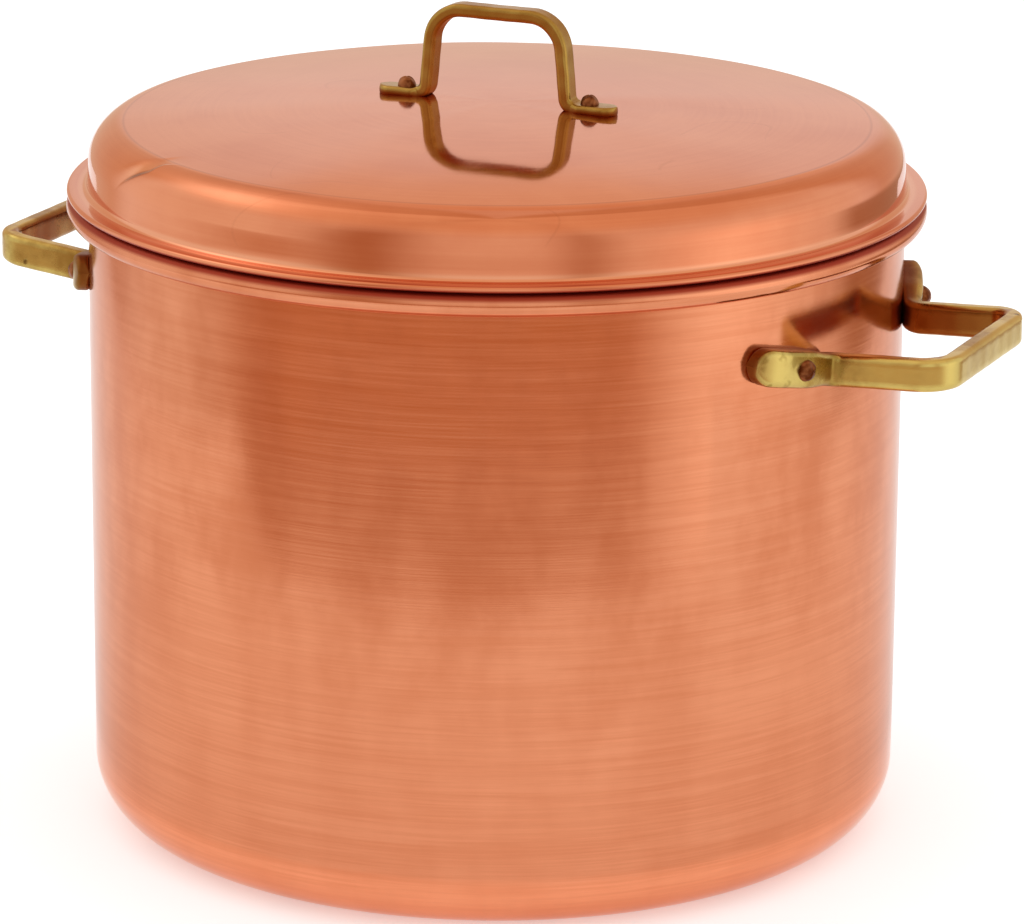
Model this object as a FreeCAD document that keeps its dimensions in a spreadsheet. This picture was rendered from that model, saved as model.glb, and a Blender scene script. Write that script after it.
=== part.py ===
import FreeCAD, Part
import math
import os
import re

import Sketcher
from FreeCAD import Vector

# Copper stockpot with a lift-off lid, in millimetres.
# The origin is the middle of the underside, +Z is up and +X runs through the right handle.

doc = FreeCAD.newDocument("stockpot")

# Driving dimensions, in millimetres and degrees

SIZES = {
    # pot
    "pot_radius": 120.0,
    "pot_height": 190.0,
    "wall": 2.0,
    "corner_radius": 19.0,
    "tin": 0.3,
    # rolled rim: the wall turns out, runs flat for the lid's seat and curls back under itself
    "curl_radius": 1.65,
    "rim_land": 1.0,
    "curl_turn": 112.0,
    # lid
    "lid_sheet": 0.9,
    "flange_inset": 0.1,
    "flange_width": 6.0,
    "flange_fillet": 1.6,
    "lid_wall_height": 8.4,
    "lid_draft": 3.5,
    "shoulder_radius": 11.4,
    "crown_radius": 1170.0,
    "skirt_gap": 1.0,
    "skirt_depth": 10.0,
    "skirt_bend": 1.2,
    # side handles: brass bar, its feet flattened and dressed hollow to sit on the wall
    "bar_height": 9.3,
    "bar_thickness": 5.5,
    "bar_rounding": 1.5,
    "right_handle_reach": 32.2,
    "left_handle_reach": 29.2,
    "handle_half_span": 32.2,
    "handle_corner": 8.0,
    "handle_bend": 5.5,
    "right_handle_rise": 3.0,
    "left_handle_rise": 6.2,
    "foot_height": 10.6,
    "right_foot_thickness": 5.8,
    "left_foot_thickness": 4.6,
    "foot_seat_depth": 1.2,
    "foot_slope": 11.0,
    "foot_end": 17.6,
    "foot_taper": 7.0,
    # side rivets
    "right_rivet_drop": 30.5,
    "left_rivet_drop": 27.1,
    "rivet_half_spacing": 46.8,
    "rivet_radius": 2.1,
    "rivet_head_radius": 3.1,
    "rivet_head_height": 2.4,
    "rivet_tail_radius": 4.5,
    "rivet_tail_height": 1.5,
    "rivet_clearance": 0.05,
    # lid handle: a slimmer bar of the same kind
    "lid_bar_width": 6.3,
    "lid_bar_thickness": 3.9,
    "lid_bar_rounding": 1.0,
    "lid_handle_height": 28.3,
    "lid_leg_spacing": 22.6,
    "lid_leg_lean": 5.7,
    "lid_handle_corner": 10.0,
    "lid_handle_bend": 3.2,
    "lid_foot_width": 8.0,
    "lid_foot_thickness": 2.3,
    "lid_foot_seat_depth": 0.6,
    "lid_foot_end": 8.6,
    "lid_foot_taper": 1.2,
    # lid rivets
    "lid_rivet_offset": 29.4,
    "lid_rivet_radius": 1.6,
    "lid_rivet_head_radius": 2.7,
    "lid_rivet_head_height": 2.7,
    "lid_rivet_tail_radius": 3.0,
    "lid_rivet_tail_height": 1.0,
}

sheet = doc.addObject("Spreadsheet::Sheet", "sizes")
for row, (name, number) in enumerate(SIZES.items(), start=1):
    sheet.set(f"A{row}", name)
    sheet.set(f"B{row}", str(number))
    sheet.setAlias(f"B{row}", name)
doc.recompute()

# Lengths that follow from the driving dimensions, as formulas on the sheet's cells

FORMULAS = {
    # pot
    "inner_radius": "pot_radius - wall",
    "inner_corner": "corner_radius - wall",
    "floor_radius": "pot_radius - corner_radius",
    "curl_outer": "curl_radius + wall",
    "curl_level": "pot_height - curl_outer",
    "curl_near": "pot_radius + curl_radius",
    "curl_far": "curl_near + rim_land",
    "rim_radius": "curl_far + curl_outer",
    "lined_radius": "inner_radius - tin",
    # lid: flange and wall
    "flange_top": "pot_height + 2 * lid_sheet",
    "flange_radius": "rim_radius - flange_inset",
    "lid_wall_radius": "flange_radius - flange_width",
    "fillet_run": "flange_fillet / tan((90 + lid_draft) / 2)",
    "wall_top_radius": "lid_wall_radius - lid_wall_height * sin(lid_draft)",
    "wall_top_level": "flange_top + lid_wall_height * cos(lid_draft)",
    # lid: the shoulder's centre lies square to the top of the wall, the crown's centre on the axis
    "shoulder_centre_radius": "wall_top_radius - shoulder_radius * cos(lid_draft)",
    "shoulder_centre_level": "wall_top_level - shoulder_radius * sin(lid_draft)",
    "crown_arm": "crown_radius - shoulder_radius",
    "crown_drop": "sqrt(crown_arm ^ 2 - shoulder_centre_radius ^ 2)",
    "crown_centre": "shoulder_centre_level - crown_drop",
    "apex": "crown_centre + crown_radius",
    # lid: skirt
    "skirt_outer": "inner_radius - skirt_gap",
    "skirt_inner": "skirt_outer - lid_sheet",
    "skirt_bottom": "pot_height - skirt_depth + lid_sheet / 2",
    "ledge_level": "pot_height + lid_sheet",
    # side rivets
    "right_rivet_level": "pot_height - right_rivet_drop",
    "left_rivet_level": "pot_height - left_rivet_drop",
    "right_foot_face": "pot_radius + right_foot_thickness",
    "left_foot_face": "pot_radius + left_foot_thickness",
    "right_rivet_angle": "asin(rivet_half_spacing / right_foot_face)",
    "left_rivet_angle": "asin(rivet_half_spacing / left_foot_face)",
    "rivet_drill": "rivet_radius + rivet_clearance",
    "tail_seat": "sqrt(lined_radius ^ 2 - rivet_tail_radius ^ 2)",
    "right_rivet_grip": "right_foot_face - tail_seat",
    "left_rivet_grip": "left_foot_face - tail_seat",
    # lid rivets
    "lid_foot_top": "crown_centre + sqrt(crown_radius ^ 2 - lid_rivet_offset ^ 2) + lid_foot_thickness",
    "lid_tail_reach": "lid_rivet_offset + lid_rivet_tail_radius",
    "lid_lined_radius": "crown_radius - lid_sheet - tin",
    "lid_tail_seat": "crown_centre + sqrt(lid_lined_radius ^ 2 - lid_tail_reach ^ 2)",
    "lid_rivet_grip": "lid_foot_top - lid_tail_seat",
    "lid_rivet_drill": "lid_rivet_radius + rivet_clearance",
}

WORD = re.compile(r"[a-z]\w*")


def formula(text):
    """The text with each size's name turned into its cell and each named formula written out."""
    def spell(match):
        word = match.group(0)
        if word in SIZES:
            return "sizes." + word
        if word in FORMULAS:
            return "(" + formula(FORMULAS[word]) + ")"
        return word
    return WORD.sub(spell, text)


def value(text):
    """The number that a formula gives now."""
    return float(sheet.evalExpression(formula(text)))


# Sketches and turned pieces

def origin_plane(body, role):
    return next(plane for plane in body.Origin.OriginFeatures if plane.Role == role)


def arc_between(start, end, radius, turn):
    """The arc from start to end that turns left or right; the long way round for a turn of 'over'."""
    chord = end - start
    half = chord.Length / 2
    side = Vector(-chord.y, chord.x, 0).normalize()
    rise = math.sqrt(max(radius * radius - half * half, 0.0))
    left = turn in ("left", "over left")
    toward = rise if left else -rise
    if turn.startswith("over"):
        toward = -toward
    centre = (start + end) / 2 + side * toward
    first, last = (start, end) if left else (end, start)
    angles = [math.atan2(point.y - centre.y, point.x - centre.x) for point in (first, last)]
    return Part.ArcOfCircle(Part.Circle(centre, Vector(0, 0, 1), radius), *angles)


def draw_outline(sketch, corners):
    """Close an outline through corners of (x, y), each with the radius and turn of an arc that leads to it.

    Every corner is held by its two distances from the sketch's origin and every arc by its radius, all bound
    to the sheet.
    """
    points = [Vector(value(corner[0]), value(corner[1]), 0) for corner in corners]
    ends = []
    for index, corner in enumerate(corners):
        start, end = points[index - 1], points[index]
        if len(corner) == 2:
            ends.append((sketch.addGeometry(Part.LineSegment(start, end)), 1, 2))
            continue
        radius, turn = corner[2:]
        arc = sketch.addGeometry(arc_between(start, end, value(radius), turn))
        ends.append((arc, 1, 2) if turn.endswith("left") else (arc, 2, 1))
        hold(sketch, Sketcher.Constraint("Radius", arc, value(radius)), radius)
    for index, corner in enumerate(corners):
        edge, _, finish = ends[index]
        after, begin, _ = ends[(index + 1) % len(ends)]
        sketch.addConstraint(Sketcher.Constraint("Coincident", edge, finish, after, begin))
        for axis, kind, text in ((-2, "DistanceX", corner[0]), (-1, "DistanceY", corner[1])):
            if text == "0":
                sketch.addConstraint(Sketcher.Constraint("PointOnObject", edge, finish, axis))
            else:
                hold(sketch, Sketcher.Constraint(kind, -1, 1, edge, finish, value(text)), text)


def hold(sketch, constraint, text):
    """Add a dimension and bind it to the sheet."""
    index = sketch.addConstraint(constraint)
    sketch.setExpression(f"Constraints[{index}]", formula(text))


def turned(name, corners):
    """A body turned about its Z axis from a half section."""
    body = doc.addObject("PartDesign::Body", name)
    sketch = body.newObject("Sketcher::SketchObject", name + "_section")
    sketch.AttachmentSupport = [(origin_plane(body, "XZ_Plane"), "")]
    sketch.MapMode = "FlatFace"
    draw_outline(sketch, corners)
    turn = body.newObject("PartDesign::Revolution", name + "_turn")
    turn.Profile = sketch
    turn.ReferenceAxis = (sketch, ["V_Axis"])
    turn.Angle = 360
    doc.recompute()
    return body


def cut(name, base, tool):
    """What is left of base when tool is taken away."""
    piece = doc.addObject("Part::Cut", name)
    piece.Base = base
    piece.Tool = tool
    return piece


def joined(name, shapes):
    group = doc.addObject("Part::MultiFuse", name)
    group.Shapes = shapes
    return group


# Places of the rivets: each side rivet points away from the pot's axis, each lid rivet up

SIDE_RIVETS = {
    "right_handle_rivet_front": ("right", "-right_rivet_angle"),
    "right_handle_rivet_rear": ("right", "right_rivet_angle"),
    "left_handle_rivet_front": ("left", "180 deg + left_rivet_angle"),
    "left_handle_rivet_rear": ("left", "180 deg - left_rivet_angle"),
}
LID_RIVETS = {"lid_rivet_left": "-lid_rivet_offset", "lid_rivet_right": "lid_rivet_offset"}


def stand_out(piece, distance, side, angle):
    """Place a piece at the level of a side's rivets, its Z axis pointing out from the pot's axis."""
    base = f"vector(({distance}) * cos({angle}); ({distance}) * sin({angle}); {side}_rivet_level)"
    piece.setExpression("Placement", formula(f"placement({base}; rotation({angle}; 90; 0))"))


def stand_up(piece, across, level):
    """Place a piece upright on the lid, along the line of the handles."""
    piece.setExpression("Placement.Base.x", formula(across))
    piece.setExpression("Placement.Base.z", formula(level))


def drill(name, radius, length):
    tool = doc.addObject("Part::Cylinder", name)
    tool.setExpression("Radius", formula(radius))
    tool.setExpression("Height", formula(length))
    return tool


side_drills = []
for name, (side, angle) in SIDE_RIVETS.items():
    tool = drill(name + "_drill", "rivet_drill", f"{side}_rivet_grip + 2 * wall")
    stand_out(tool, "tail_seat - wall", side, angle)
    side_drills.append(tool)
side_holes = joined("side_holes", side_drills)

lid_drills = []
for name, across in LID_RIVETS.items():
    tool = drill(name + "_drill", "lid_rivet_drill", "lid_rivet_grip + 4 * lid_sheet")
    stand_up(tool, across, "lid_tail_seat - 2 * lid_sheet")
    lid_drills.append(tool)
lid_holes = joined("lid_holes", lid_drills)

# Pot

pot_turned = turned("pot_turned", [
    ("0", "0"),
    ("floor_radius", "0"),
    ("pot_radius", "corner_radius", "corner_radius", "left"),
    ("pot_radius", "curl_level"),
    ("curl_near", "curl_level + curl_radius", "curl_radius", "right"),
    ("curl_far", "curl_level + curl_radius"),
    ("curl_far + curl_radius * cos(curl_turn)", "curl_level - curl_radius * sin(curl_turn)",
     "curl_radius", "over right"),
    ("curl_far + curl_outer * cos(curl_turn)", "curl_level - curl_outer * sin(curl_turn)"),
    ("curl_far", "pot_height", "curl_outer", "over left"),
    ("curl_near", "pot_height"),
    ("inner_radius", "curl_level", "curl_outer", "left"),
    ("inner_radius", "corner_radius"),
    ("floor_radius", "wall", "inner_corner", "right"),
    ("0", "wall"),
])
cut("pot_body", pot_turned, side_holes)

pot_lining_turned = turned("pot_lining_turned", [
    ("0", "wall"),
    ("floor_radius", "wall"),
    ("inner_radius", "corner_radius", "inner_corner", "left"),
    ("inner_radius", "curl_level"),
    ("lined_radius", "curl_level"),
    ("lined_radius", "corner_radius"),
    ("floor_radius", "wall + tin", "inner_corner - tin", "right"),
    ("0", "wall + tin"),
])
cut("pot_lining", pot_lining_turned, side_holes)

# Lid


def crown_end(inset):
    """Where the crown runs into the shoulder, on the face that lies inset below the outside."""
    share = f"((crown_radius - {inset}) / crown_arm)"
    return f"shoulder_centre_radius * {share}", f"crown_centre + crown_drop * {share}"


def wall_end(inset):
    """Where the shoulder runs into the lid's wall, on the face that lies inset below the outside."""
    return f"wall_top_radius - {inset} * cos(lid_draft)", f"wall_top_level - {inset} * sin(lid_draft)"


def wall_foot(inset):
    """Radius at which that face of the wall meets the folded flange's lower sheet."""
    return f"lid_wall_radius - {inset} / cos(lid_draft) + lid_sheet * tan(lid_draft)"


lid_turned = turned("lid_turned", [
    ("0", "apex"),
    (*crown_end("0"), "crown_radius", "right"),
    (*wall_end("0"), "shoulder_radius", "right"),
    ("lid_wall_radius - fillet_run * sin(lid_draft)", "flange_top + fillet_run * cos(lid_draft)"),
    ("lid_wall_radius + fillet_run", "flange_top", "flange_fillet", "left"),
    ("flange_radius - lid_sheet", "flange_top"),
    ("flange_radius", "ledge_level", "lid_sheet", "right"),
    ("flange_radius - lid_sheet", "pot_height", "lid_sheet", "right"),
    ("skirt_outer + skirt_bend", "pot_height"),
    ("skirt_outer", "pot_height - skirt_bend", "skirt_bend", "left"),
    ("skirt_outer", "skirt_bottom"),
    ("skirt_outer - lid_sheet / 2", "skirt_bottom - lid_sheet / 2", "lid_sheet / 2", "right"),
    ("skirt_inner", "skirt_bottom", "lid_sheet / 2", "right"),
    ("skirt_inner", "pot_height - skirt_bend"),
    ("skirt_outer + skirt_bend", "ledge_level", "skirt_bend + lid_sheet", "right"),
    (wall_foot("lid_sheet"), "ledge_level"),
    wall_end("lid_sheet"),
    (*crown_end("lid_sheet"), "shoulder_radius - lid_sheet", "left"),
    ("0", "apex - lid_sheet", "crown_radius - lid_sheet", "left"),
])
cut("lid_shell", lid_turned, lid_holes)

lid_lining_turned = turned("lid_lining_turned", [
    ("0", "apex - lid_sheet"),
    (*crown_end("lid_sheet"), "crown_radius - lid_sheet", "right"),
    (*wall_end("lid_sheet"), "shoulder_radius - lid_sheet", "right"),
    (wall_foot("lid_sheet"), "ledge_level"),
    (wall_foot("(lid_sheet + tin)"), "ledge_level"),
    wall_end("(lid_sheet + tin)"),
    (*crown_end("(lid_sheet + tin)"), "shoulder_radius - lid_sheet - tin", "left"),
    ("0", "apex - lid_sheet - tin", "crown_radius - lid_sheet - tin", "left"),
])
cut("lid_lining", lid_lining_turned, lid_holes)

# Bent handles: bars bent in more than one plane, so their shapes come from Part's own sweeps


def bar_section(centre, thick_way, wide_way, thickness, width, rounding, half=False):
    """A rounded rectangle round a centre, or the half of it that lies on the wide way's side."""
    a, b = thickness / 2, width / 2
    slant = rounding * (1 - math.sqrt(0.5))
    upper = [[(a, b - rounding), (a - slant, b - slant), (a - rounding, b)],
             [(rounding - a, b), (slant - a, b - slant), (-a, b - rounding)]]
    lower = [[(-a, rounding - b), (slant - a, slant - b), (rounding - a, -b)],
             [(a - rounding, -b), (a - slant, slant - b), (a, rounding - b)]]
    flat = [[(-a, 0), (a, 0)]]
    runs = [[centre + thick_way * p + wide_way * q for p, q in run]
            for run in upper + (flat if half else lower)]
    edges = []
    for run, following in zip(runs, runs[1:] + runs[:1]):
        edges.append((Part.Arc(*run) if len(run) == 3 else Part.LineSegment(*run)).toShape())
        edges.append(Part.LineSegment(run[-1], following[0]).toShape())
    return Part.Wire(edges)


def rounded_turn(before, corner, after, radius):
    """Start, middle and end of the arc of this radius that rounds a corner of a path."""
    back = (before - corner).normalize()
    ahead = (after - corner).normalize()
    half = back.getAngle(ahead) / 2
    run = radius / math.tan(half)
    inward = (back + ahead).normalize()
    middle = corner + inward * (radius / math.sin(half) - radius)
    return corner + back * run, middle, corner + ahead * run


def bent_bar(name, line, face_way, side_way, foot, bar, bends, taper):
    """A bar bent into a handle, built as one half and its mirror image.

    Its line runs from the centre of the foot's round end through the bend and the corner to the middle of
    the grip. face_way is the way that the foot's outer face looks, side_way the way of the bar's width. foot
    and bar are (thickness, width, rounding), bends the radii of the bar's line at the bend and the corner.
    """
    tip, bend, corner, middle = line
    bend_arc = rounded_turn(tip, bend, corner, bends[0])
    corner_arc = rounded_turn(bend, corner, middle, bends[1])
    along = (tip - bend).normalize()
    foot_side = along.cross(face_way)
    neck = bend_arc[0] + along * taper

    round_end = Part.Face(bar_section(tip, face_way, foot_side, *foot, half=True))
    round_end = round_end.revolve(tip, face_way, 180)
    foot_root = bar_section(neck, face_way, foot_side, *foot)
    pad = Part.Face(foot_root).extrude(tip - neck)
    bar_start = bar_section(bend_arc[0], face_way, side_way, *bar)
    shoulder = Part.makeLoft([foot_root, bar_start], True, True)
    sweep = Part.BRepOffsetAPI.MakePipeShell(Part.Wire([
        Part.Arc(*bend_arc).toShape(),
        Part.LineSegment(bend_arc[2], corner_arc[0]).toShape(),
        Part.Arc(*corner_arc).toShape(),
        Part.LineSegment(corner_arc[2], middle).toShape(),
    ]))
    sweep.setBiNormalMode(side_way)
    sweep.add(bar_start)
    sweep.build()
    sweep.makeSolid()
    half = round_end.fuse([pad, shoulder, sweep.shape()])
    whole = half.fuse(half.mirror(middle, (middle - corner).normalize())).removeSplitter()
    piece = doc.addObject("Part::Feature", name)
    piece.Shape = whole
    return piece


# Side handles: the feet lie on the wall and climb to their tips, the loop rises as it stands out

UP = Vector(0, 0, 1)
size = {name: value(name) for name in [*SIZES, *FORMULAS]}
slope = math.radians(size["foot_slope"])

wall_form = doc.addObject("Part::Cylinder", "wall_form")
wall_form.setExpression("Radius", formula("pot_radius"))
wall_form.setExpression("Height", formula("pot_height"))

for side, turn in (("right", 0), ("left", 180)):
    rivet_angle = math.radians(size[side + "_rivet_angle"])
    out_way = Vector(math.cos(rivet_angle), math.sin(rivet_angle), 0)
    foot_way = UP.cross(out_way) * math.cos(slope) + UP * math.sin(slope)
    foot_depth = size[side + "_foot_thickness"] + size["foot_seat_depth"]
    rivet_place = out_way * (size[side + "_foot_face"] - foot_depth / 2) + UP * size[side + "_rivet_level"]
    tip = rivet_place + foot_way * (size["foot_end"] - size["foot_height"] / 2)
    bend = rivet_place - foot_way * ((rivet_place.y - size["handle_half_span"]) / foot_way.y)
    grip_x = size["pot_radius"] + size[side + "_handle_reach"]
    grip_z = bend.z + (grip_x - bend.x) * math.tan(math.radians(size[side + "_handle_rise"]))
    blank = bent_bar(
        side + "_handle_blank",
        (tip, bend, Vector(grip_x, size["handle_half_span"], grip_z), Vector(grip_x, 0, grip_z)),
        out_way, UP,
        (foot_depth, size["foot_height"], size["bar_rounding"]),
        (size["bar_thickness"], size["bar_height"], size["bar_rounding"]),
        (size["handle_bend"], size["handle_corner"]),
        size["foot_taper"])
    blank.Placement = FreeCAD.Placement(Vector(), FreeCAD.Rotation(UP, turn))
    seated = cut(side + "_handle_seated", blank, wall_form)
    cut(side + "_handle", seated, side_holes)

# Lid handle, its feet dressed to the crown of the lid

lid_foot_depth = size["lid_foot_thickness"] + size["lid_foot_seat_depth"]
foot_line = size["lid_foot_top"] - lid_foot_depth / 2
lid_tip = Vector(size["lid_rivet_offset"] + size["lid_foot_end"] - size["lid_foot_width"] / 2, 0, foot_line)
lid_bend = Vector(size["lid_leg_spacing"], 0, foot_line)
lid_grip_z = size["apex"] + size["lid_handle_height"] - size["lid_bar_thickness"] / 2
lid_lean = (lid_grip_z - foot_line) * math.tan(math.radians(size["lid_leg_lean"]))
lid_corner = Vector(size["lid_leg_spacing"] - lid_lean, 0, lid_grip_z)
lid_blank = bent_bar(
    "lid_handle_blank",
    (lid_tip, lid_bend, lid_corner, Vector(0, 0, lid_grip_z)),
    UP, Vector(0, -1, 0),
    (lid_foot_depth, size["lid_foot_width"], size["lid_bar_rounding"]),
    (size["lid_bar_thickness"], size["lid_bar_width"], size["lid_bar_rounding"]),
    (size["lid_handle_bend"], size["lid_handle_corner"]),
    size["lid_foot_taper"])
crown_form = doc.addObject("Part::Sphere", "crown_form")
crown_form.setExpression("Radius", formula("crown_radius"))
crown_form.setExpression("Placement.Base.z", formula("crown_centre"))
lid_seated = cut("lid_handle_seated", lid_blank, crown_form)
cut("lid_handle", lid_seated, lid_holes)

# Rivets: a domed head on the foot, a shank that fills the hole and a flat tail inside


def rivet_section(shank, head_radius, head_height, grip, tail_radius, tail_height):
    """Half section of a rivet whose head sits at level 0, with a spherical dome."""
    dome = f"(({head_radius} ^ 2 + {head_height} ^ 2) / (2 * {head_height}))"
    return [
        ("0", f"-({grip} + {tail_height})"),
        (tail_radius, f"-({grip} + {tail_height})"),
        (tail_radius, f"-({grip})"),
        (shank, f"-({grip})"),
        (shank, "0"),
        (head_radius, "0"),
        ("0", head_height, dome, "left"),
    ]


for name, (side, angle) in SIDE_RIVETS.items():
    rivet = turned(name, rivet_section("rivet_radius", "rivet_head_radius", "rivet_head_height",
                                       f"{side}_rivet_grip", "rivet_tail_radius", "rivet_tail_height"))
    stand_out(rivet, f"{side}_foot_face", side, angle)

for name, across in LID_RIVETS.items():
    rivet = turned(name, rivet_section("lid_rivet_radius", "lid_rivet_head_radius", "lid_rivet_head_height",
                                       "lid_rivet_grip", "lid_rivet_tail_radius", "lid_rivet_tail_height"))
    stand_up(rivet, across, "lid_foot_top")

doc.recompute()

# Check and write the pieces

NODES = ["pot_body", "pot_lining", "lid_shell", "lid_lining", "lid_handle", "right_handle", "left_handle",
         *SIDE_RIVETS, *LID_RIVETS]

for item in doc.Objects:
    if {"Invalid", "Error"} & set(item.State):
        raise RuntimeError(f"{item.Label} failed: {item.State}")

os.makedirs("parts", exist_ok=True)
for name in NODES:
    piece = doc.getObject(name)
    shape = piece.Shape
    if shape.isNull() or not shape.isValid() or len(shape.Solids) != 1:
        raise RuntimeError(f"{name} is not one sound solid")
    shape.exportStep(f"parts/{piece.Label}.step")
    print(f"{piece.Label}: {shape.Volume / 1000:.2f} cm3")
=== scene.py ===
# %% [markdown]
# A copper stockpot with a domed lid, brass handles and copper rivets. Its solid model is loaded first and
# stays fixed as the frame. Every surface made here is worked out in the same place and to the same sizes,
# and then takes over from the solid that it covers. Lengths are in millimetres, as on a maker's drawing,
# until a mesh is made.

# %% Load the frame
import math

import bpy
import numpy as np
from mathutils import Matrix


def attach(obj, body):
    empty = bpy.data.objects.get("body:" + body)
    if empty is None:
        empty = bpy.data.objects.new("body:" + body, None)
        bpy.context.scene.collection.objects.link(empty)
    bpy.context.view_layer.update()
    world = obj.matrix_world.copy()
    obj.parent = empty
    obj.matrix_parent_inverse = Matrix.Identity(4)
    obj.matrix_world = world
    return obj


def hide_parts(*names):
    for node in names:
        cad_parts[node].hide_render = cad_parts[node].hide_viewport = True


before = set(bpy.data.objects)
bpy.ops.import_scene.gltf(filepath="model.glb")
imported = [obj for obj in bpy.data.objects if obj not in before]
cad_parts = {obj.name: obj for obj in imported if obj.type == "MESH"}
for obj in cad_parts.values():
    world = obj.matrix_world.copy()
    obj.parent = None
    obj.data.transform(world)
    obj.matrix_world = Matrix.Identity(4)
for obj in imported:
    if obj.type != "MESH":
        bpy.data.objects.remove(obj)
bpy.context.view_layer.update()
print("solids:", ", ".join(sorted(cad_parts)))

# %% [markdown]
# The camera stands a step and a half away, a little above the lid, turned so that the right-hand handle
# comes forward. It could be placed by eye, but a long lens hides small errors, so its place was worked out
# from the ellipses of the rim and the base. Its three axes are built from the line of sight and the roll.

# %% Camera
MM = 0.001
SENSOR_WIDTH = 36.0
PHOTO_WIDTH = 1024
FOCAL_PIXELS = 5339.9
UP = np.array([0.0, 0.0, 1.0])

camera_turn = math.radians(24.5)
camera_roll = 0.0074
across = np.array([math.cos(camera_turn), math.sin(camera_turn), 0.0])
towards = np.array([math.sin(camera_turn), -math.cos(camera_turn), 0.0])
camera_place = 1530.6 * towards + 550.8 * UP
camera_aim = 4.994 * across + 105.98 * UP


def unit(vectors):
    """Each vector divided by its own length."""
    return vectors / np.linalg.norm(vectors, axis=-1, keepdims=True)


sight = unit(camera_aim - camera_place)
level_right = unit(np.cross(sight, UP))
level_up = np.cross(level_right, sight)
camera_right = math.cos(camera_roll) * level_right + math.sin(camera_roll) * level_up
camera_up = math.cos(camera_roll) * level_up - math.sin(camera_roll) * level_right
axes = np.column_stack([camera_right, camera_up, -sight, camera_place * MM])

camera = bpy.data.objects.new("camera", bpy.data.cameras.new("camera"))
camera.data.sensor_fit = "HORIZONTAL"
camera.data.sensor_width = SENSOR_WIDTH
camera.data.lens = FOCAL_PIXELS * SENSOR_WIDTH / PHOTO_WIDTH
camera.matrix_world = Matrix(np.vstack([axes, [0, 0, 0, 1]]).tolist())
bpy.context.collection.objects.link(camera)
bpy.context.scene.camera = camera
print("lens", round(camera.data.lens, 1), "mm")

# %% [markdown]
# Every piece is a grid of points: a profile of rows, each carried round by the columns. Modelling by hand
# would need loop cuts and bevels. Here the points come from formulas as whole arrays, and this cell joins
# them into a mesh. Where a row shrinks to one point, a fan of triangles closes the pole.

# %% From grids to meshes
SHARP = math.radians(40)


def grid_faces(rows, columns, poles):
    """Quads between neighbouring points of a grid whose columns go round, and a fan at each pole.

    The first pole's point follows the grid's own, the last pole's comes after it."""
    index = np.arange(rows * columns).reshape(rows, columns)
    turned_on = np.roll(index, -1, axis=1)
    quads = np.stack([index[:-1], turned_on[:-1], turned_on[1:], index[1:]], -1).reshape(-1, 4)
    if len(poles) == 0:
        return [quads]
    first = np.full(columns, rows * columns)
    opening = np.stack([first, turned_on[0], index[0]], -1)
    closing = np.stack([first + 1, index[-1], turned_on[-1]], -1)
    return [quads, opening, closing]


def make_piece(name, grid, poles=()):
    """A mesh object from a grid of points in millimetres (rows, columns, 3) and its two end poles."""
    rows, columns, _ = grid.shape
    faces = grid_faces(rows, columns, poles)
    points = np.concatenate([grid.reshape(-1, 3), np.reshape(poles, (-1, 3))]) * MM
    counts = np.concatenate([np.full(len(part), part.shape[1]) for part in faces])
    corners = np.concatenate([part.ravel() for part in faces])
    mesh = bpy.data.meshes.new(name)
    mesh.vertices.add(len(points))
    mesh.vertices.foreach_set("co", points.ravel())
    mesh.loops.add(len(corners))
    mesh.loops.foreach_set("vertex_index", corners)
    mesh.polygons.add(len(counts))
    mesh.polygons.foreach_set("loop_start", np.cumsum(counts) - counts)
    mesh.update(calc_edges=True)
    mesh.validate()
    mesh.shade_smooth()
    mesh.set_sharp_from_angle(angle=SHARP)
    piece = bpy.data.objects.new(name, mesh)
    bpy.context.collection.objects.link(piece)
    print(name, len(points), "points,", len(counts), "faces")
    return piece


# %% [markdown]
# The pot and the lid were spun from flat discs on a lathe, so they are surfaces of revolution: a half
# section of radius and height, turned about the upright axis. Arcs and straight runs are listed in order
# and then filled in with evenly spaced points, so that finish and waves have something to act on.

# %% Turned surfaces
SAME_POINT, LEAST_GAP = 1e-6, 0.02


def arc(centre, radius, start, end, step=0.5):
    """Points on a circle about a centre, from one angle in degrees to another."""
    count = max(6, int(abs(math.radians(end - start)) * radius / step))
    angle = np.radians(np.linspace(start, end, count))
    return np.array(centre) + radius * np.stack([np.cos(angle), np.sin(angle)], -1)


def half_section(*runs, step=4.0):
    """Arcs and single points joined by straight lines and divided about once in every step."""
    line = np.concatenate([np.reshape(run, (-1, 2)) for run in runs])
    along = np.concatenate([[0], np.cumsum(np.linalg.norm(np.diff(line, axis=0), axis=1))])
    apart = np.append(True, np.diff(along) > SAME_POINT)
    line, along = line[apart], along[apart]
    marks = np.unique(np.concatenate([along, np.linspace(0, along[-1], int(along[-1] / step))]))
    marks = marks[np.append(True, np.diff(marks) > LEAST_GAP)]
    return np.stack([np.interp(marks, along, line[:, 0]), np.interp(marks, along, line[:, 1])], -1)


def ripple(height, angle, waves):
    """Sum over the waves of size * sin(turns * angle + climb * height in metres + start)."""
    size, turns, climb, start = np.array(waves)[:, :, None, None].transpose(1, 0, 2, 3)
    return np.sum(size * np.sin(turns * angle + climb * height * MM + start), axis=0)


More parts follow.
